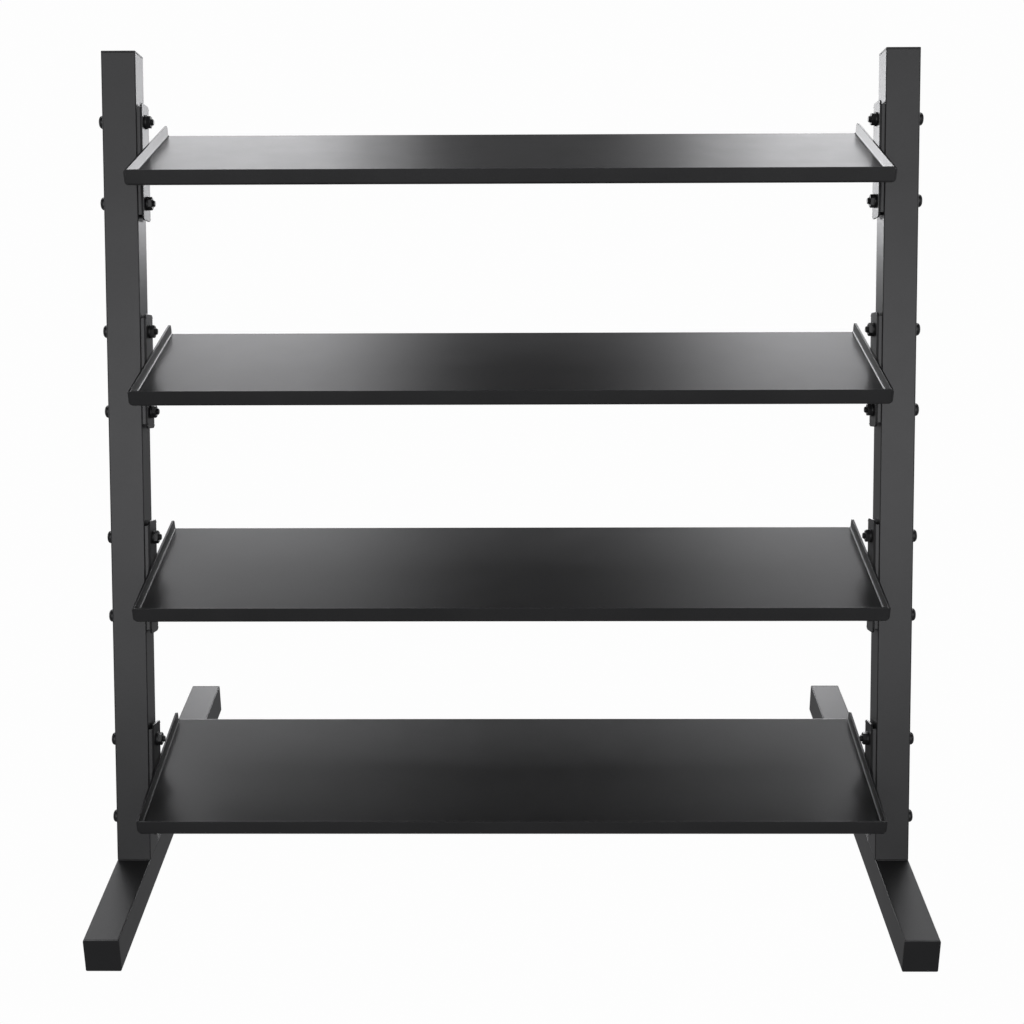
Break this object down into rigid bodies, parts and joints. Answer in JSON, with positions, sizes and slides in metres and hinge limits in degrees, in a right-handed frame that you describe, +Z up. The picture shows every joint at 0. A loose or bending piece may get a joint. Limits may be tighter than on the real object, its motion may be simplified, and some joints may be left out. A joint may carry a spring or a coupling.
{
  "type": "dumbbell rack",
  "caption": "Free-standing dumbbell rack: leaning side frames of square tube on foot rails carry tilted sheet-metal trays on bolted brackets.",
  "frame": {"origin": "on the floor, midway between the two foot rails and midway along them", "axes": "+Z up, -Y towards the user, where the tray lips are, X along the trays"},
  "size_m": [1.2038, 0.79, 1.1963],
  "materials": {
    "powder_coat": "satin black powder coat",
    "tray_coat": "satin black powder coat",
    "cap_plastic": "moulded black plastic",
    "black_steel": "black oxide"
  },
  "bodies": {
    "root": {"foot_rail_left": "powder_coat", "foot_cap_left_front": "cap_plastic", "foot_cap_left_rear": "cap_plastic", "upright_left": "powder_coat", "upright_cap_left": "cap_plastic", "bracket_left_1": "powder_coat", "bolt_left_1_lower": "black_steel", "nut_left_1_lower": "black_steel", "bolt_left_1_upper": "black_steel", "nut_left_1_upper": "black_steel", "bracket_left_2": "powder_coat", "bolt_left_2_lower": "black_steel", "nut_left_2_lower": "black_steel", "bolt_left_2_upper": "black_steel", "nut_left_2_upper": "black_steel", "bracket_left_3": "powder_coat", "bolt_left_3_lower": "black_steel", "nut_left_3_lower": "black_steel", "bolt_left_3_upper": "black_steel", "nut_left_3_upper": "black_steel", "bracket_left_4": "powder_coat", "bolt_left_4_lower": "black_steel", "nut_left_4_lower": "black_steel", "bolt_left_4_upper": "black_steel", "nut_left_4_upper": "black_steel", "foot_rail_right": "powder_coat", "foot_cap_right_front": "cap_plastic", "foot_cap_right_rear": "cap_plastic", "upright_right": "powder_coat", "upright_cap_right": "cap_plastic", "bracket_right_1": "powder_coat", "bolt_right_1_lower": "black_steel", "nut_right_1_lower": "black_steel", "bolt_right_1_upper": "black_steel", "nut_right_1_upper": "black_steel", "bracket_right_2": "powder_coat", "bolt_right_2_lower": "black_steel", "nut_right_2_lower": "black_steel", "bolt_right_2_upper": "black_steel", "nut_right_2_upper": "black_steel", "bracket_right_3": "powder_coat", "bolt_right_3_lower": "black_steel", "nut_right_3_lower": "black_steel", "bolt_right_3_upper": "black_steel", "nut_right_3_upper": "black_steel", "bracket_right_4": "powder_coat", "bolt_right_4_lower": "black_steel", "nut_right_4_lower": "black_steel", "bolt_right_4_upper": "black_steel", "nut_right_4_upper": "black_steel", "tray_1": "tray_coat", "tray_2": "tray_coat", "tray_3": "tray_coat", "tray_4": "tray_coat"}
  },
  "joints": []
}
